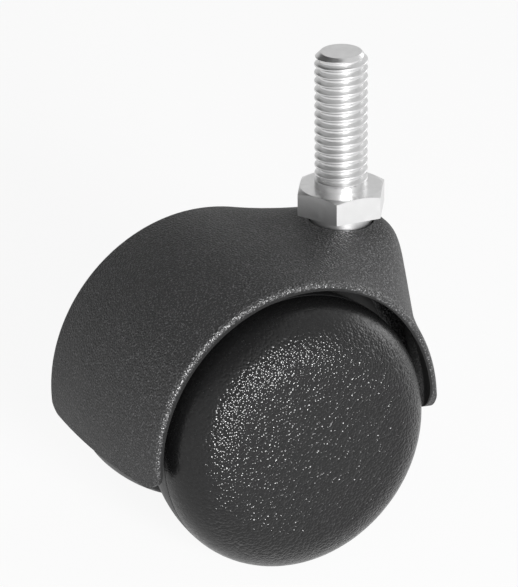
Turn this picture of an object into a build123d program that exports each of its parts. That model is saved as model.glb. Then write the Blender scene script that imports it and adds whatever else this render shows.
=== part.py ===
"""Twin-wheel furniture castor on a threaded stem, in millimetres.

The stem turns about Z and its hexagon seats on the furniture at z = 0.
The wheels trail towards -X and spin about an axle along Y.
"""

import os
from math import asin, atan2, ceil, cos, degrees, radians, sin, sqrt, tan

from build123d import *

# Stem: a 3/8 inch threaded end, a hexagon, a collar and a plain pivot
thread_diameter = 9.525
thread_length = 25.4
thread_tip_chamfer = 1.1
hex_across_flats = 14.8
hex_height = 4.5
hex_chamfer_angle = 25.0
hex_turn = -6.0
collar_radius = 5.6
collar_length = 3.2
pivot_radius = 4.5
pivot_length = 24.0
pivot_tip_chamfer = 1.2

# Spring ring that keeps the pivot in its socket
ring_wire_radius = 0.6
ring_opening = 50.0
ring_height = 5.5
ring_side_clearance = 0.15
ring_turning_clearance = 0.3

# Wheel place, behind the stem
trail = 20.5

# Hood: a crowned barrel over the wheels that runs forward into the neck
hood_top_drop = 6.2
rim_reach = 3.4
rim_overlap = 3.0
barrel_crown = 1.4
hood_wall = 1.6
hood_front_angle = -7.0
hood_back_angle = 188.0
front_corner_radius = 6.8
back_corner_radius = 3.5
rim_edge_radius = 0.8
nose_reach = 8.4
nose_draft = 12.6
shoulder_sharpness = 19.5
neck_half_width = 9.4
neck_edge_sharpness = 3.0
neck_flare = 31.0
neck_flare_start = 16.0
neck_flare_power = 1.6

# Sections that the hood's skin is drawn through
section_step = 2.5
neck_sections = 12
barrel_sections = 7

# How far a cutter runs past what it cuts
cut_overrun = 1.0
room_overrun_angle = 8.0

# Inside the hood
web_thickness = 4.0
socket_wall = 2.9
socket_floor = 2.4
axle_boss_radius = 6.5
axle_boss_half_length = 8.0
counterbore_clearance = 0.4
pivot_clearance = 0.05

# Axle and the push nuts that hold the wheels on it
axle_radius = 3.0
axle_end_chamfer = 0.5
axle_overhang = 2.2
axle_press_clearance = 0.02
nut_radius = 5.4
nut_thickness = 0.5
nut_dish = 0.6
nut_slots = 6
nut_slot_width = 0.8
nut_slot_reach = 4.2

# Wheel: a tread ring on a ribbed disc, closed by a domed cap
wheel_radius = 25.4
wheel_end_play = 0.3
wheel_inner_face = 9.0
tread_width = 8.0
tread_drop = 1.4
tread_edge_radius = 0.8
tread_wall = 2.8
disc_recess = 2.0
disc_thickness = 2.4
hub_radius = 5.8
hub_length = 9.2
hub_clearance = 0.05
rib_count = 8
rib_thickness = 1.8
rib_setback = 0.4
seam_chamfer = 0.2

# Domed cap
cap_shoulder_radius = 10.0
cap_dome_radius = 200.0
cap_wall = 2.2
cap_skirt_length = 3.0
cap_skirt_wall = 1.8
cap_skirt_root = 0.3
cap_skirt_clearance = 0.1

# Worked-out places
sides = {"right": -1, "left": 1}
wheel_seam = wheel_inner_face + tread_width
rim_radius = wheel_radius + rim_reach
rim_half_width = wheel_seam + rim_overlap
crest_height = rim_radius + barrel_crown
axle_drop = crest_height + hood_top_drop
shoulder_angle = degrees(atan2(crest_height, trail + nose_reach))
hood_blank_start = axle_boss_radius - cut_overrun
hood_room_start = hood_blank_start - cut_overrun
collar_bottom = -hex_height - collar_length
counterbore_floor = collar_bottom - counterbore_clearance
pivot_bottom = collar_bottom - pivot_length
socket_bottom = pivot_bottom - pivot_clearance
socket_bore = pivot_radius + pivot_clearance
socket_radius = socket_bore + socket_wall
ring_z = pivot_bottom + ring_height
hub_start = axle_boss_half_length + wheel_end_play
hub_end = hub_start + hub_length
nut_start = hub_end + wheel_end_play
axle_half_length = nut_start + nut_thickness + nut_dish + axle_overhang
axle_line = Axis((-trail, 0, -axle_drop), (0, 1, 0))


def outline_radius(angle, inset):
    """Distance from the axle to the hood's mid-plane outline, along a ray."""
    if angle >= 90:
        return crest_height - inset
    rise, run = sin(radians(angle)), cos(radians(angle))
    slope = tan(radians(nose_draft))
    nose = trail + nose_reach + crest_height * slope - inset / cos(radians(nose_draft))
    to_top = max(rise, 0) / (crest_height - inset)
    to_nose = (run + rise * slope) / nose
    return (to_top**shoulder_sharpness + to_nose**shoulder_sharpness) ** (-1 / shoulder_sharpness)


def hood_radius(angle, y, inset):
    """Radius of the hood's skin about the axle: the barrel, plus the neck's bell-shaped rise."""
    across = min(abs(y), rim_half_width)
    barrel = rim_radius - inset + barrel_crown * (1 - (across / rim_half_width) ** 2)
    rise = outline_radius(angle, inset) - (crest_height - inset)
    turned = max(angle - neck_flare_start, 0) / (90 - neck_flare_start)
    spread = neck_half_width - inset + neck_flare * turned**neck_flare_power
    bell = 1 / (1 + (across / spread) ** neck_edge_sharpness)
    tail = 1 / (1 + (rim_half_width / spread) ** neck_edge_sharpness)
    return barrel + rise * (bell - tail) / (1 - tail)


def hood_section_plane(angle):
    """Plane through the axle, with local x along Y and local y outwards at the angle."""
    turn = radians(angle)
    return Plane((-trail, 0, -axle_drop), x_dir=(0, 1, 0), z_dir=(sin(turn), 0, -cos(turn)))


def skin_points(angle, first_y, last_y, inset):
    """Points along one section of the hood's skin, about a section step apart."""
    steps = ceil((last_y - first_y) / section_step)
    stations = [first_y + (last_y - first_y) * step / steps for step in range(steps + 1)]
    return [(y, hood_radius(angle, y, inset)) for y in stations]


def blank_section(angle):
    """One section of the solid hood, with the edges of its rims rounded."""
    flat_end = rim_half_width - rim_edge_radius
    with BuildSketch(hood_section_plane(angle)) as section:
        with BuildLine():
            skin = Spline(*skin_points(angle, -flat_end, flat_end, 0))
            rim_start = (skin @ 1).Y - rim_edge_radius
            left_edge = TangentArc(skin @ 1, (rim_half_width, rim_start), tangent=skin % 1)
            right_edge = TangentArc(skin @ 0, (-rim_half_width, rim_start), tangent=(skin % 0) * -1)
            Polyline(
                left_edge @ 1,
                (rim_half_width, hood_blank_start),
                (-rim_half_width, hood_blank_start),
                right_edge @ 1,
            )
        make_face()
    return section.sketch


def room_section(angle):
    """One section of the room on the left of the mid web."""
    room_end = rim_half_width + cut_overrun
    with BuildSketch(hood_section_plane(angle)) as section:
        with BuildLine():
            skin = Spline(*skin_points(angle, web_thickness / 2, room_end, hood_wall))
            Polyline(skin @ 1, (room_end, hood_room_start), (web_thickness / 2, hood_room_start), skin @ 0)
        make_face()
    return section.sketch


def section_angles(first, last):
    """Angles close together up to the neck's shoulder and over its top, and wider over the plain barrel."""
    nose = [first + (shoulder_angle - first) * step / neck_sections for step in range(neck_sections)]
    top = [shoulder_angle + (90 - shoulder_angle) * step / neck_sections for step in range(neck_sections)]
    barrel = [90 + (last - 90) * step / barrel_sections for step in range(barrel_sections + 1)]
    return nose + top + barrel


def wheel_plane(side):
    """Plane through the axle with local x outwards and local y up."""
    return Plane((-trail, 0, -axle_drop), x_dir=(0, side, 0), z_dir=(side, 0, 0))


def across_axle(side, outwards):
    """Plane square to the axle, facing outwards."""
    return Plane((-trail, side * outwards, -axle_drop), x_dir=(1, 0, 0), z_dir=(0, side, 0))


def rings(edges, radius):
    """The edges that circle the axle at a radius."""
    round_edges = edges.filter_by(GeomType.CIRCLE)
    return round_edges.filter_by(lambda edge: abs(edge.radius - radius) < 0.01 and edge.is_closed)


def rim_end_plane(angle):
    """Plane square to a ray from the axle, with local x along Y and local y up the rim."""
    turn = radians(angle)
    return Plane((-trail, 0, -axle_drop), x_dir=(0, 1, 0), z_dir=(cos(turn), 0, sin(turn)))


os.makedirs("parts", exist_ok=True)

# Threaded stem
with BuildPart() as threaded_stem:
    with BuildSketch(Plane.XY.offset(-hex_height)):
        RegularPolygon(hex_across_flats / 2, 6, major_radius=False, rotation=hex_turn)
    extrude(amount=hex_height)
    with BuildSketch(Plane.XZ):
        hex_corner = hex_across_flats / 2 / cos(radians(30))
        corner_drop = (hex_corner - hex_across_flats / 2) * tan(radians(hex_chamfer_angle))
        with BuildLine():
            Polyline(
                (0, 0),
                (hex_across_flats / 2, 0),
                (hex_corner, -corner_drop),
                (hex_corner, -hex_height),
                (0, -hex_height),
                close=True,
            )
        make_face()
    revolve(axis=Axis.Z, mode=Mode.INTERSECT)
    with BuildSketch(Plane.XY):
        Circle(thread_diameter / 2)
    extrude(amount=thread_length)
    chamfer(threaded_stem.edges().sort_by(Axis.Z)[-1], thread_tip_chamfer)
    with BuildSketch(Plane.XY.offset(collar_bottom)):
        Circle(collar_radius)
    extrude(amount=collar_length)
    with BuildSketch(Plane.XY.offset(pivot_bottom)):
        Circle(pivot_radius)
    extrude(amount=pivot_length)
    chamfer(threaded_stem.edges().sort_by(Axis.Z)[0], pivot_tip_chamfer)
    ring_groove = ring_wire_radius + ring_side_clearance
    with BuildSketch(Plane.XY.offset(ring_z - ring_groove)):
        Circle(pivot_radius + cut_overrun)
        Circle(pivot_radius - ring_groove, mode=Mode.SUBTRACT)
    extrude(amount=2 * ring_groove, mode=Mode.SUBTRACT)
threaded_stem.part.label = "threaded_stem"
export_step(threaded_stem.part, "parts/threaded_stem.step")

# Spring ring, open on one side
with BuildPart() as stem_snap_ring:
    with BuildSketch(Plane.XZ):
        with Locations((pivot_radius, ring_z)):
            Circle(ring_wire_radius)
    revolve(axis=Axis.Z, revolution_arc=360 - ring_opening)
stem_snap_ring.part.label = "stem_snap_ring"
export_step(stem_snap_ring.part, "parts/stem_snap_ring.step")

# Room inside the hood, on the left of the mid web and outside the pivot's socket
with BuildPart() as hood_room:
    room_front = hood_front_angle - room_overrun_angle
    room_back = hood_back_angle + room_overrun_angle
    loft([room_section(angle) for angle in section_angles(room_front, room_back)])
    with BuildSketch(Plane.XY.offset(socket_bottom - socket_floor)):
        Circle(socket_radius)
    extrude(amount=crest_height, mode=Mode.SUBTRACT)

# Hood
with BuildPart() as hood:
    loft([blank_section(angle) for angle in section_angles(hood_front_angle, hood_back_angle)])
    for angle, inward, radius in (
        (hood_front_angle, 1, front_corner_radius),
        (hood_back_angle, -1, back_corner_radius),
    ):
        corner_y = rim_half_width - radius
        with BuildSketch(rim_end_plane(angle)):
            with Locations((corner_y, 0), (-corner_y, 0)):
                Rectangle(2 * radius, 2 * radius)
            with Locations((0, inward * radius)):
                SlotCenterToCenter(2 * corner_y, 2 * radius, mode=Mode.SUBTRACT)
        extrude(amount=2 * crest_height, mode=Mode.SUBTRACT)
    add(hood_room.part, mode=Mode.SUBTRACT)
    mirror(hood_room.part, about=Plane.XZ, mode=Mode.SUBTRACT)
    with BuildSketch(across_axle(-1, -axle_boss_half_length)):
        Circle(axle_boss_radius)
    extrude(amount=2 * axle_boss_half_length)
    with BuildSketch(across_axle(-1, -axle_boss_half_length)):
        Circle(axle_radius + axle_press_clearance)
    extrude(amount=2 * axle_boss_half_length, mode=Mode.SUBTRACT)
    with BuildSketch(Plane.XY.offset(counterbore_floor)):
        Circle(collar_radius + counterbore_clearance)
    extrude(amount=crest_height, mode=Mode.SUBTRACT)
    with BuildSketch(Plane.XY.offset(socket_bottom)):
        Circle(socket_bore)
    extrude(amount=crest_height, mode=Mode.SUBTRACT)
    ring_room = ring_wire_radius + ring_turning_clearance
    with BuildSketch(Plane.XY.offset(ring_z - ring_room)):
        Circle(pivot_radius + ring_room)
    extrude(amount=2 * ring_room, mode=Mode.SUBTRACT)
hood.part.label = "hood"
export_step(hood.part, "parts/hood.step")

# Axle
with BuildPart() as axle:
    with BuildSketch(across_axle(1, -axle_half_length)):
        Circle(axle_radius)
    extrude(amount=2 * axle_half_length)
    chamfer(axle.edges().filter_by(GeomType.CIRCLE), axle_end_chamfer)
axle.part.label = "axle"
export_step(axle.part, "parts/axle.step")

dome_turn = degrees(asin((wheel_radius - cap_shoulder_radius) / (cap_dome_radius - cap_shoulder_radius)))
dome_centre = wheel_seam - (cap_dome_radius - cap_shoulder_radius) * cos(radians(dome_turn))
tread_crown = (tread_width**2 + tread_drop**2) / (2 * tread_drop)
rim_inside = wheel_radius - tread_wall
skirt_outside = rim_inside - cap_skirt_clearance
skirt_inside = skirt_outside - cap_skirt_wall

for side_name, side in sides.items():
    # Push nut: a dished spring washer with slotted teeth
    with BuildPart() as push_nut:
        with BuildSketch(wheel_plane(side)):
            with BuildLine():
                Polyline(
                    (nut_start, nut_radius),
                    (nut_start + nut_thickness, nut_radius),
                    (nut_start + nut_dish + nut_thickness, axle_radius + axle_press_clearance),
                    (nut_start + nut_dish, axle_radius + axle_press_clearance),
                    close=True,
                )
            make_face()
        revolve(axis=axle_line)
        with BuildSketch(across_axle(side, nut_start)):
            with PolarLocations(nut_slot_reach / 2, nut_slots):
                Rectangle(nut_slot_reach, nut_slot_width)
        extrude(amount=2 * (nut_dish + nut_thickness), mode=Mode.SUBTRACT)
    push_nut.part.label = f"push_nut_{side_name}"
    export_step(push_nut.part, f"parts/push_nut_{side_name}.step")

    # Wheel: tread ring, ribbed disc and hub
    with BuildPart() as wheel:
        with BuildSketch(wheel_plane(side)):
            with BuildLine():
                tread_turn = degrees(asin(tread_width / tread_crown))
                tread = CenterArc((wheel_seam, wheel_radius - tread_crown), tread_crown, 90, tread_turn)
                disc_start = wheel_inner_face + disc_recess
                disc_end = disc_start + disc_thickness
                Polyline(
                    tread @ 1,
                    (wheel_inner_face, rim_inside),
                    (disc_start, rim_inside),
                    (disc_start, hub_radius),
                    (hub_start, hub_radius),
                    (hub_start, axle_radius + hub_clearance),
                    (hub_end, axle_radius + hub_clearance),
                    (hub_end, hub_radius),
                    (disc_end, hub_radius),
                    (disc_end, rim_inside),
                    (wheel_seam, rim_inside),
                    tread @ 0,
                )
            make_face()
        revolve(axis=axle_line)
        chamfer(rings(wheel.edges(), wheel_radius), seam_chamfer)
        fillet(rings(wheel.edges(), wheel_radius - tread_drop), tread_edge_radius)
        with BuildSketch(across_axle(side, wheel_inner_face + rib_setback)):
            with PolarLocations((rim_inside + hub_radius) / 2, rib_count):
                Rectangle(rim_inside - hub_radius + cut_overrun, rib_thickness)
        extrude(amount=disc_recess - rib_setback)
    wheel.part.label = f"wheel_{side_name}"
    export_step(wheel.part, f"parts/wheel_{side_name}.step")

    # Domed cap with a skirt that snaps into the wheel
    with BuildPart() as wheel_cap:
        for inset, mode in ((0, Mode.ADD), (cap_wall, Mode.SUBTRACT)):
            with BuildSketch(wheel_plane(side)):
                with BuildLine():
                    centre = (wheel_seam, wheel_radius - cap_shoulder_radius)
                    shoulder = CenterArc(centre, cap_shoulder_radius - inset, 90, dome_turn - 90)
                    dome = CenterArc((dome_centre, 0), cap_dome_radius - inset, dome_turn, -dome_turn)
                    Polyline(dome @ 1, (wheel_seam, 0), shoulder @ 0)
                make_face()
            revolve(axis=axle_line, mode=mode)
        chamfer(rings(wheel_cap.edges(), wheel_radius), seam_chamfer)
        inner_shoulder = cap_shoulder_radius - cap_wall
        skirt_rise = skirt_inside - (wheel_radius - cap_shoulder_radius)
        skirt_top = sqrt(inner_shoulder**2 - skirt_rise**2) + cap_skirt_root
        with BuildSketch(across_axle(side, wheel_seam - cap_skirt_length)):
            Circle(skirt_outside)
            Circle(skirt_inside, mode=Mode.SUBTRACT)
        extrude(amount=cap_skirt_length + skirt_top)
    wheel_cap.part.label = f"wheel_cap_{side_name}"
    export_step(wheel_cap.part, f"parts/wheel_cap_{side_name}.step")
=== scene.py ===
"""Looks of a twin-wheel castor: its thread, its finishes and a plain studio.

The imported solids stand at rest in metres, with the seat of the hexagon at z = 0.
"""

from math import cos, pi, radians, sin

import bmesh
import bpy
from bpy.props import FloatProperty, FloatVectorProperty, IntProperty, PointerProperty
from mathutils import Matrix, Vector


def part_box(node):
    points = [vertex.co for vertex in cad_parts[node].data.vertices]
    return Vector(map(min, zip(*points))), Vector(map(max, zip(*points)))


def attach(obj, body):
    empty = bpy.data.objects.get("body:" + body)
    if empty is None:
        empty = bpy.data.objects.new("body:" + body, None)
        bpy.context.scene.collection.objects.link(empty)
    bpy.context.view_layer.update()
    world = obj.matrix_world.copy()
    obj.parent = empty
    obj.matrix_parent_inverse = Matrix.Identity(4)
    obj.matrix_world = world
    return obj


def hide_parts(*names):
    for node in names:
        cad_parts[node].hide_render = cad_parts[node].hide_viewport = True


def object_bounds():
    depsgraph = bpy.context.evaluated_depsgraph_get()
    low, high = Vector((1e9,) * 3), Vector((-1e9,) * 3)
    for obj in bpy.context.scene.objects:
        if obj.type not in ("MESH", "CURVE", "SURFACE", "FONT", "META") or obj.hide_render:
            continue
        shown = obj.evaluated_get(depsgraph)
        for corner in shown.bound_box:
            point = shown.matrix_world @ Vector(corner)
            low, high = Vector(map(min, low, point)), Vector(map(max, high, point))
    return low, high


bl_info = {
    "name": "Twin-Wheel Castor",
    "version": (1, 0, 0),
    "blender": (4, 5, 0),
    "location": "3D View > Sidebar > Castor",
    "description": "Gives the solids of a castor their thread, finishes and studio",
    "category": "Object",
}

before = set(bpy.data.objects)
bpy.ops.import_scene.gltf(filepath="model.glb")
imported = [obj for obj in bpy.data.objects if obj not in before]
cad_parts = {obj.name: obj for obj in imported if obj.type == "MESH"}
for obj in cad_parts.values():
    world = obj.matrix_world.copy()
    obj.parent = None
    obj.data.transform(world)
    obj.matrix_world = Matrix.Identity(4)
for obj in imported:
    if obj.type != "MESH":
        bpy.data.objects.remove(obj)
cad_low, cad_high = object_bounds()


def length(name, description, default):
    """A size in metres that a user may change."""
    return FloatProperty(
        name=name, description=description, default=default, min=0, unit="LENGTH", precision=5
    )


def power(name, description, default):
    """A lamp's power in watts that a user may change."""
    return FloatProperty(name=name, description=description, default=default, min=0, unit="POWER")


def colour(name, description, default):
    """A linear colour that a user may change."""
    return FloatVectorProperty(
        name=name,
        description=description,
        default=(*default, 1),
        size=4,
        min=0,
        max=1,
        subtype="COLOR",
    )


class CastorStem(bpy.types.PropertyGroup):
    """Sizes of the thread on the stem."""

    diameter: length("Diameter", "Across the crests of the thread", 0.009525)
    pitch: length("Pitch", "From one crest to the next", 0.0254 / 16)
    depth: length("Depth", "From crest to root", 0.00085)
    crest: length("Crest", "Width of the rounded top of a crest", 0.00036)
    root: length("Root", "Width of the bottom of a groove", 0.0003)
    foot: length("Plain Foot", "Height of the plain ring below the thread", 0.0016)
    chamfer: length("Tip Chamfer", "Bevel at the tip of the thread", 0.0011)
    steps: IntProperty(name="Steps", description="Faces in one turn", default=96, min=12)


class CastorFinish(bpy.types.PropertyGroup):
    """Colours and grains of the castor's materials."""

    hood: colour("Hood", "Black nylon of the hood", (0.021, 0.021, 0.0214))
    cap: colour("Caps", "Black nylon of the domed caps", (0.008, 0.008, 0.0082))
    wheel: colour("Wheels", "Black nylon of the treads and discs", (0.012, 0.012, 0.0125))
    plating: colour("Plating", "Bright zinc on the stem", (0.73, 0.73, 0.73))
    spring: colour("Spring Steel", "Dark steel of the ring and the push nuts", (0.16, 0.16, 0.17))
    axle: colour("Axle", "Plain drawn steel", (0.5, 0.5, 0.51))
    hood_grain: length("Hood Grain", "Size of the fine grain on the hood", 0.00036)
    # Inside this radius the hood is dull, and its colour is darkened there as painted shade in the
    # hollow.
    hood_inside_dull_and_shade: length("Hood Inside", "Radius up to which the hood is dull", 0.0279)
    rim_edge: length("Rim Edge", "Width of the rubbed edge along the hood's rims", 0.0007)
    cap_grain: length("Cap Grain", "Size of the coarse grain on the caps", 0.00052)
    cap_shoulder: length("Cap Shoulder", "Radius past which the caps are smoother", 0.0205)


class CastorStudio(bpy.types.PropertyGroup):
    """Light and floor around the castor."""

    floor: colour("Floor", "Colour of the floor", (0.9, 0.9, 0.9))
    key: power("Key", "Power of the lamp in front", 17)
    side: power("Side", "Power of the lamp on the right", 1.3)
    surround: FloatProperty(
        name="Surround", description="Light from all around", default=0.3, min=0
    )


class Value:
    """A socket's value in a finish. Arithmetic on it adds Math nodes."""

    def __init__(self, finish, socket):
        self.finish = finish
        self.socket = socket

    def _math(self, operation, first, second):
        return self.finish.node("ShaderNodeMath", {"operation": operation}, {0: first, 1: second})

    def __add__(self, other):
        return self._math("ADD", self, other)

    __radd__ = __add__

    def __sub__(self, other):
        return self._math("SUBTRACT", self, other)

    def __rsub__(self, other):
        return self._math("SUBTRACT", other, self)

    def __mul__(self, other):
        return self._math("MULTIPLY", self, other)

    __rmul__ = __mul__

    def largest(self, other):
        return self._math("MAXIMUM", self, other)


class Finish:
    """A material, or the world, under construction."""

    def __init__(self, made):
        made.use_nodes = True
        self.made = made
        self.tree = made.node_tree
        self.tree.nodes.clear()

    def node(self, kind, settings=None, sockets=None, output=0):
        """A node with its settings made first, then its sockets filled or linked."""
        made = self.tree.nodes.new(kind)
        for setting, value in (settings or {}).items():
            setattr(made, setting, value)
        for socket, value in (sockets or {}).items():
            if isinstance(value, Value):
                self.tree.links.new(value.socket, made.inputs[socket])
            else:
                made.inputs[socket].default_value = value
        return Value(self, made.outputs[output])

    def shown(self):
        """1 on rays that show a surface: those from the camera, off gloss or through glass."""
        kinds = ("Is Camera Ray", "Is Glossy Ray", "Is Transmission Ray")
        camera, glossy, through = (self.node("ShaderNodeLightPath", output=kind) for kind in kinds)
        return camera.largest(glossy).largest(through)

    def place(self):
        """The point on the piece, in its own metres."""
        return self.node("ShaderNodeTexCoord", output="Object")

    def vectors(self, operation, first, second=None, output="Vector"):
        """A Vector Math node."""
        sockets = {0: first} if second is None else {0: first, 1: second}
        return self.node("ShaderNodeVectorMath", {"operation": operation}, sockets, output)

    def reach_from_axle(self):
        """How far the point is from the axle's line, in metres."""
        low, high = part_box("axle")
        apart = self.vectors("SUBTRACT", self.place(), (low + high) / 2)
        return self.vectors("LENGTH", self.vectors("MULTIPLY", apart, (1, 0, 1)), output="Value")

    def reach_from_middle(self):
        """How far the point is from the plane midway between the wheels, in metres."""
        across = self.node("ShaderNodeSeparateXYZ", {}, {0: self.place()}, "Y")
        return across.largest(0 - across)

    def noise(self, size, detail, roughness=0.5, vector=None):
        """Soft noise with features of about a size."""
        vector = vector or self.place()
        sockets = {"Vector": vector, "Scale": 1 / size, "Detail": detail, "Roughness": roughness}
        return self.node("ShaderNodeTexNoise", {}, sockets)

    def cells(self, size, output):
        """Cells side by side: the distance from a cell's middle, or a colour drawn for it."""
        sockets = {"Vector": self.place(), "Scale": 1 / size}
        return self.node("ShaderNodeTexVoronoi", {}, sockets, output)

    def ramp(self, value, low, high):
        """0 below the low value, 1 above the high one and smooth between."""
        sockets = {"Value": value, "From Min": low, "From Max": high}
        return self.node("ShaderNodeMapRange", {"interpolation_type": "SMOOTHSTEP"}, sockets)

    def mix(self, share, first, second):
        """A colour between two others."""
        sockets = {"Factor": share, 6: first, 7: second}
        return self.node("ShaderNodeMix", {"data_type": "RGBA"}, sockets, 2)

    def bump(self, height, depth):
        """The surface raised by a height times a depth."""
        sockets = {"Strength": 1.0, "Distance": depth, "Height": height}
        return self.node("ShaderNodeBump", {}, sockets)

    def surface(self, **sockets):
        """The finished surface."""
        named = {socket.replace("_", " "): value for socket, value in sockets.items()}
        return self.end(self.node("ShaderNodeBsdfPrincipled", {}, named))

    def end(self, shader, kind="ShaderNodeOutputMaterial"):
        """Joins a shader to the output."""
        self.tree.links.new(shader.socket, self.tree.nodes.new(kind).inputs["Surface"])
        return self.made


def material(name):
    """A new material under construction."""
    return Finish(bpy.data.materials.new(name))


def tone(base, share=1):
    """A colour with its red, green and blue times a share."""
    return (*(channel * share for channel in base[:3]), 1)


def hood_nylon(look):
    """Black nylon with a fine, speckled grain, rubbed along the rims, dull inside and darkened
    there with painted shade.
    """
    grain_depth = 0.00026
    speck_size, speck_start, speck_full, speck_tone = look.hood_grain * 0.8, 0.55, 0.72, 4
    cloud_size, cloud_swing = 0.011, 0.16
    # The inside's colour is darkened to this share of the hood's as painted shade.
    inside_fade, inside_shade_tone = 0.0003, 0.3
    roughness, rim_polish = 0.58, 0.3
    finish = material("fine-grained black nylon")
    grain = finish.noise(look.hood_grain, detail=0.5)
    specks = finish.ramp(finish.noise(speck_size, detail=0.0), speck_start, speck_full)
    cloud = finish.noise(cloud_size, detail=3.0)
    inside_start = look.hood_inside_dull_and_shade - inside_fade
    outside = finish.ramp(finish.reach_from_axle(), inside_start, look.hood_inside_dull_and_shade)
    rim_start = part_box("hood")[1].y - look.rim_edge
    rim = finish.ramp(finish.reach_from_middle(), rim_start, rim_start + look.rim_edge / 2)
    rough = roughness + (cloud - 0.5) * cloud_swing - rim * rim_polish
    speckled = finish.mix(specks, tone(look.hood), tone(look.hood, speck_tone))
    return finish.surface(
        # Painted shade: inside the hollow the hood takes the darker colour.
        Base_Color=finish.mix(outside, tone(look.hood, inside_shade_tone), speckled),
        Roughness=1 - outside * (1 - rough),
        Specular_IOR_Level=0.45,
        Normal=finish.bump(grain * outside, grain_depth),
    )


def cap_nylon(look):
    """Black nylon with a coarse grain of small domes that glint, smoother on the shoulder."""
    grain_depth, unevenness, uneven_size = look.cap_grain * 0.34, 0.9, look.cap_grain * 2
    shoulder_fade, shoulder_dullness, shoulder_smoothing = 0.0038, 0.12, 0.85
    roughness, dome_swing, dome_tone = 0.13, 0.12, 0.6
    finish = material("coarse-grained black nylon")
    apart = finish.cells(look.cap_grain, "Distance")
    drawn = finish.cells(look.cap_grain, "Color")
    chance = finish.node("ShaderNodeSeparateColor", {}, {0: drawn})
    uneven = finish.noise(uneven_size, detail=1.0)
    shoulder_end = look.cap_shoulder + shoulder_fade
    shoulder = finish.ramp(finish.reach_from_axle(), look.cap_shoulder, shoulder_end)
    grain = uneven * unevenness - apart * apart
    return finish.surface(
        Base_Color=finish.mix(chance, tone(look.cap), tone(look.cap, dome_tone)),
        Roughness=roughness + chance * dome_swing + shoulder * shoulder_dullness,
        Specular_IOR_Level=0.32,
        Normal=finish.bump(grain * (1 - shoulder * shoulder_smoothing), grain_depth),
    )


def plain_nylon(name, base):
    """Smooth black nylon, dulled by the floor."""
    scuff_size, scuff_depth = 0.0012, 0.00003
    roughness, scuff_swing = 0.5, 0.2
    finish = material(name)
    scuff = finish.noise(scuff_size, detail=3.0)
    return finish.surface(
        Base_Color=tone(base),
        Roughness=roughness + (scuff - 0.5) * scuff_swing,
        Normal=finish.bump(scuff, scuff_depth),
    )


def turned_steel(name, base, roughness, ring_depth):
    """Plated steel with the fine rings that a lathe leaves around Z."""
    ring_size, ring_stretch = 0.00012, (0.15, 0.15, 1)
    bloom_size, bloom_tone, bloom_swing = 0.0015, 0.86, 0.16
    finish = material(name)
    sockets = {"Vector": finish.place(), "Scale": ring_stretch}
    stretched = finish.node("ShaderNodeMapping", {}, sockets)
    rings = finish.noise(ring_size, detail=2.0, vector=stretched)
    bloom = finish.noise(bloom_size, detail=4.0, roughness=0.6)
    return finish.surface(
        Base_Color=finish.mix(bloom, tone(base), tone(base, bloom_tone)),
        Metallic=1.0,
        Roughness=roughness + (bloom - 0.5) * bloom_swing,
        Normal=finish.bump(rings, ring_depth),
    )


def dress(node, finish):
    """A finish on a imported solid."""
    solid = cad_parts[node]
    solid.data.materials.clear()
    solid.data.materials.append(finish)


def mesh_piece(name, shape, finish, sharp_angle=30):
    """An object at the origin from a finished shape, smooth up to an angle in degrees."""
    mesh = bpy.data.meshes.new(name)
    shape.to_mesh(mesh)
    shape.free()
    if "custom_normal" in mesh.attributes:
        mesh.attributes.remove(mesh.attributes["custom_normal"])
    mesh.polygons.foreach_set("use_smooth", [True] * len(mesh.polygons))
    mesh.set_sharp_from_angle(angle=radians(sharp_angle))
    mesh.materials.append(finish)
    piece = bpy.data.objects.new(name, mesh)
    bpy.context.scene.collection.objects.link(piece)
    return piece


def solid_copy(node):
    """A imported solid's shape with its loose triangles joined."""
    shape = bmesh.new()
    shape.from_mesh(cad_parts[node].data)
    bmesh.ops.remove_doubles(shape, verts=shape.verts[:], dist=1e-6)
    return shape


def cut_above(shape, height, side=1):
    """Takes off what is above a height, or below it where the side is -1."""
    bmesh.ops.bisect_plane(
        shape,
        geom=shape.verts[:] + shape.edges[:] + shape.faces[:],
        plane_co=(0, 0, height),
        plane_no=(0, 0, side),
        clear_outer=True,
    )


def outline_points(shape, outline, low=0):
    """An open line of points, each given by its radius and its rise above a low end."""
    points = [shape.verts.new((radius, 0, low + rise)) for radius, rise in outline]
    return points + [shape.edges.new(pair) for pair in zip(points, points[1:])]


def even_out_poles(shape):
    """Rings of small faces in place of the long slivers that meet at the middle of a dome."""
    fewest_slivers, rings = 100, 8
    poles = [point for point in shape.verts if len(point.link_faces) > fewest_slivers]
    for pole in poles:
        reach = max(line.calc_length() for line in pole.link_edges)
        middle = bmesh.utils.face_join(list(pole.link_faces))
        for _ in range(rings):
            bmesh.ops.inset_individual(shape, faces=[middle], thickness=reach / (rings + 1))


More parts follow.
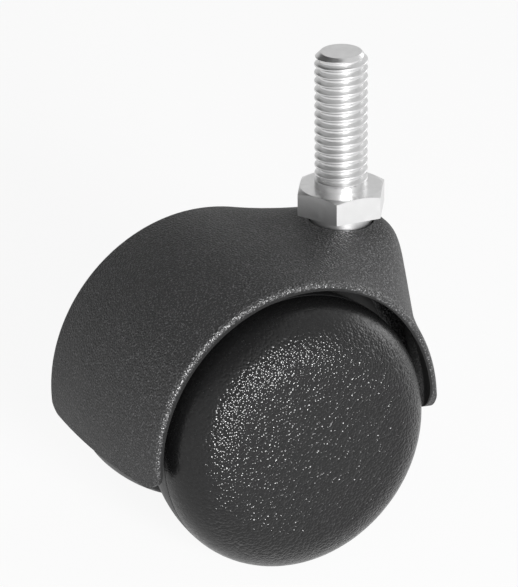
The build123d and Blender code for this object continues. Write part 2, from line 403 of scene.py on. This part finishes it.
def helical_thread(shape, size, start, tip):
    """A right-hand thread swept from a groove's outline, cut at its foot, bevelled at its tip."""
    crest_radius = size.diameter / 2
    root_radius = crest_radius - size.depth
    half_way = root_radius + size.depth / 2
    flank = (size.pitch - size.crest - size.root) / 2
    edge = size.crest / 4
    crest_start = size.root + flank
    crest_end = crest_start + size.crest
    outline = (
        (root_radius, 0),
        (root_radius, size.root),
        (half_way, size.root + flank / 2),
        (crest_radius - edge / 2, crest_start),
        (crest_radius, crest_start + edge),
        (crest_radius, crest_end - edge),
        (crest_radius - edge / 2, crest_end),
        (half_way, size.pitch - flank / 2),
        (root_radius, size.pitch),
    )
    low = start - 2 * size.pitch
    turns = int((tip - low) / size.pitch) + 2
    bmesh.ops.spin(
        shape,
        geom=outline_points(shape, outline, low),
        cent=(0, 0, 0),
        axis=(0, 0, 1),
        dvec=(0, 0, size.pitch / size.steps),
        angle=2 * pi * turns,
        steps=size.steps * turns,
    )
    bmesh.ops.remove_doubles(shape, verts=shape.verts[:], dist=size.pitch / 2000)
    cut_above(shape, start, -1)
    cut_above(shape, tip)
    for point in shape.verts:
        allowed = crest_radius - size.chamfer + (tip - point.co.z)
        reach = point.co.xy.length
        if reach > allowed:
            point.co.xy *= allowed / reach
    ends = [
        line for line in shape.edges if line.is_boundary and line.verts[0].co.z > tip - 1e-6
    ]
    bmesh.ops.edgeloop_fill(shape, edges=ends)


def plain_foot(shape, size):
    """The unthreaded ring between the hexagon and the thread."""
    bevel = 0.00018
    radius = size.diameter / 2
    outline = (
        (radius - size.depth, 0),
        (radius, 0),
        (radius, size.foot - bevel),
        (radius - bevel, size.foot),
        (radius - size.depth, size.foot),
    )
    bmesh.ops.spin(
        shape,
        geom=outline_points(shape, outline),
        cent=(0, 0, 0),
        axis=(0, 0, 1),
        angle=2 * pi,
        steps=size.steps,
        use_merge=True,
    )


def join_shape(shape, other):
    """Adds another shape to a shape and frees it."""
    held = bpy.data.meshes.new("joined")
    other.to_mesh(held)
    other.free()
    shape.from_mesh(held)
    bpy.data.meshes.remove(held)


class CASTOR_OT_threaded_stem(bpy.types.Operator):
    """Build the stem with its thread"""

    bl_idname = "castor.threaded_stem"
    bl_label = "Threaded Stem"

    def execute(self, context):
        just_above_seat = 0.00002
        size = context.scene.castor_stem
        look = context.scene.castor_finish
        shape = bmesh.new()
        helical_thread(shape, size, size.foot / 2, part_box("threaded_stem")[1].z)
        plain_foot(shape, size)
        lower = solid_copy("threaded_stem")
        cut_above(lower, just_above_seat)
        join_shape(shape, lower)
        bmesh.ops.recalc_face_normals(shape, faces=shape.faces[:])
        plating = turned_steel("bright zinc plating", look.plating, 0.33, 0.000004)
        stem = mesh_piece("stem_with_thread", shape, plating, sharp_angle=20)
        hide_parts("threaded_stem")
        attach(stem, "stem")
        return {"FINISHED"}


class CASTOR_OT_hood(bpy.types.Operator):
    """Finish the moulded hood"""

    bl_idname = "castor.hood"
    bl_label = "Hood"

    def execute(self, context):
        dress("hood", hood_nylon(context.scene.castor_finish))
        return {"FINISHED"}


class CASTOR_OT_wheels(bpy.types.Operator):
    """Finish the wheels and their domed caps"""

    bl_idname = "castor.wheels"
    bl_label = "Wheels"

    def execute(self, context):
        look = context.scene.castor_finish
        plain = plain_nylon("plain black nylon", look.wheel)
        grained = cap_nylon(look)
        for side in ("left", "right"):
            dress(f"wheel_{side}", plain)
            shape = solid_copy(f"wheel_cap_{side}")
            even_out_poles(shape)
            dome = mesh_piece(f"smooth_cap_{side}", shape, grained)
            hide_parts(f"wheel_cap_{side}")
            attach(dome, f"{side}_wheel")
        return {"FINISHED"}


class CASTOR_OT_hardware(bpy.types.Operator):
    """Finish the axle, the snap ring and the push nuts"""

    bl_idname = "castor.hardware"
    bl_label = "Axle and Fasteners"

    def execute(self, context):
        ring_depth = 0.000002
        look = context.scene.castor_finish
        dress("axle", turned_steel("drawn steel", look.axle, 0.34, ring_depth))
        spring = turned_steel("dark spring steel", look.spring, 0.38, ring_depth)
        for node in ("stem_snap_ring", "push_nut_left", "push_nut_right"):
            dress(node, spring)
        return {"FINISHED"}


def soft_lamp(name, place, aim, width, height, watts):
    """A large rectangular lamp that faces a point."""
    lamp = bpy.data.lights.new(name, "AREA")
    lamp.shape = "RECTANGLE"
    lamp.size, lamp.size_y = width, height
    lamp.energy = watts
    held = bpy.data.objects.new(name, lamp)
    held.location = place
    held.rotation_euler = (Vector(aim) - Vector(place)).to_track_quat("-Z", "Y").to_euler()
    bpy.context.scene.collection.objects.link(held)


def dark_card(place, aim, width, height):
    """A card out of the picture that keeps light off one side, as in a photographer's tent."""
    card_tone = (0.08, 0.08, 0.08, 1)
    shape = bmesh.new()
    bmesh.ops.create_grid(shape, x_segments=1, y_segments=1, size=0.5)
    bmesh.ops.scale(shape, verts=shape.verts[:], vec=(width, height, 1))
    turn = (Vector(aim) - Vector(place)).to_track_quat("Z", "Y").to_matrix()
    bmesh.ops.rotate(shape, verts=shape.verts[:], cent=(0, 0, 0), matrix=turn)
    bmesh.ops.translate(shape, verts=shape.verts[:], vec=place)
    finish = material("dark card")
    matt = finish.node("ShaderNodeBsdfDiffuse", {}, {"Color": card_tone})
    card = mesh_piece("card", shape, finish.end(matt))
    card.visible_camera = False


def pale_surround(strength):
    """A world that is white to look at and in reflections, and gentler as a light."""
    world = Finish(bpy.data.worlds.new("studio surround"))
    shown = world.shown()
    sockets = {"Strength": shown + (1 - shown) * strength}
    light = world.node("ShaderNodeBackground", {}, sockets)
    bpy.context.scene.world = world.end(light, "ShaderNodeOutputWorld")


def pale_floor(height, base):
    """A wide floor, white to look at, that keeps a soft shadow."""
    half_width, whiteness = 6, 0.92
    shape = bmesh.new()
    bmesh.ops.create_grid(shape, x_segments=1, y_segments=1, size=half_width)
    bmesh.ops.translate(shape, verts=shape.verts[:], vec=(0, 0, height))
    finish = material("pale floor")
    matt = finish.node("ShaderNodeBsdfDiffuse", {}, {"Color": tone(base)})
    white = finish.node("ShaderNodeEmission", {}, {"Color": (1, 1, 1, 1), "Strength": 1.0})
    sockets = {0: finish.shown() * whiteness, 1: matt, 2: white}
    mixed = finish.node("ShaderNodeMixShader", {}, sockets)
    mesh_piece("floor", shape, finish.end(mixed))


def photograph_camera():
    """The camera's place, turn and lens in the photograph."""
    place = (-0.33293, -0.55806, 0.27071)
    turn, tilt, roll = radians(-29.511), radians(24.194), radians(0.5305)
    focal_length, sensor_width = 241.755, 36
    nearest, farthest = 0.05, 20
    right = Vector((cos(turn), sin(turn), 0))
    up = Vector((-sin(turn) * sin(tilt), cos(turn) * sin(tilt), cos(tilt)))
    back = Vector((sin(turn) * cos(tilt), -cos(turn) * cos(tilt), sin(tilt)))
    rolled_right = right * cos(roll) - up * sin(roll)
    rolled_up = right * sin(roll) + up * cos(roll)
    level = Matrix((rolled_right, rolled_up, back)).transposed()
    lens = bpy.data.cameras.new("camera")
    lens.lens, lens.sensor_width = focal_length, sensor_width
    lens.clip_start, lens.clip_end = nearest, farthest
    camera = bpy.data.objects.new("camera", lens)
    camera.matrix_world = Matrix.Translation(place) @ level.to_4x4()
    bpy.context.scene.collection.objects.link(camera)
    bpy.context.scene.camera = camera


class CASTOR_OT_studio(bpy.types.Operator):
    """Set up the floor, the light and the camera"""

    bl_idname = "castor.studio"
    bl_label = "Studio"

    def execute(self, context):
        aim = (-0.02, 0, -0.03)
        front, front_size = (-0.14, -0.92, 0.19), (0.22, 0.22)
        right, right_size = (0.85, 0.12, 0.18), (0.5, 0.4)
        above, card_size = (-0.22, 0.19, 0.48), (1.1, 0.9)
        studio = context.scene.castor_studio
        context.scene.view_settings.view_transform = "Standard"
        pale_surround(studio.surround)
        pale_floor(cad_low.z, studio.floor)
        soft_lamp("front lamp", front, aim, *front_size, studio.key)
        soft_lamp("side lamp", right, aim, *right_size, studio.side)
        dark_card(above, aim, *card_size)
        photograph_camera()
        return {"FINISHED"}


class CASTOR_PT_panel(bpy.types.Panel):
    """The castor's pieces and settings"""

    bl_idname = "CASTOR_PT_panel"
    bl_label = "Castor"
    bl_space_type = "VIEW_3D"
    bl_region_type = "UI"
    bl_category = "Castor"

    def draw(self, context):
        for operator in operators:
            self.layout.operator(operator.bl_idname)
        for group in groups:
            box = self.layout.box()
            values = getattr(context.scene, group)
            for value in values.bl_rna.properties:
                if value.identifier not in ("rna_type", "name"):
                    box.prop(values, value.identifier)


groups = {
    "castor_stem": CastorStem,
    "castor_finish": CastorFinish,
    "castor_studio": CastorStudio,
}
operators = (
    CASTOR_OT_threaded_stem,
    CASTOR_OT_hood,
    CASTOR_OT_wheels,
    CASTOR_OT_hardware,
    CASTOR_OT_studio,
)
classes = (*groups.values(), *operators, CASTOR_PT_panel)


def register():
    for kind in classes:
        bpy.utils.register_class(kind)
    for group, kind in groups.items():
        setattr(bpy.types.Scene, group, PointerProperty(type=kind))


def unregister():
    for group in groups:
        delattr(bpy.types.Scene, group)
    for kind in reversed(classes):
        bpy.utils.unregister_class(kind)


def main():
    register()
    bpy.ops.castor.threaded_stem()
    bpy.ops.castor.hood()
    bpy.ops.castor.wheels()
    bpy.ops.castor.hardware()
    bpy.ops.castor.studio()


if __name__ == "__main__":
    main()
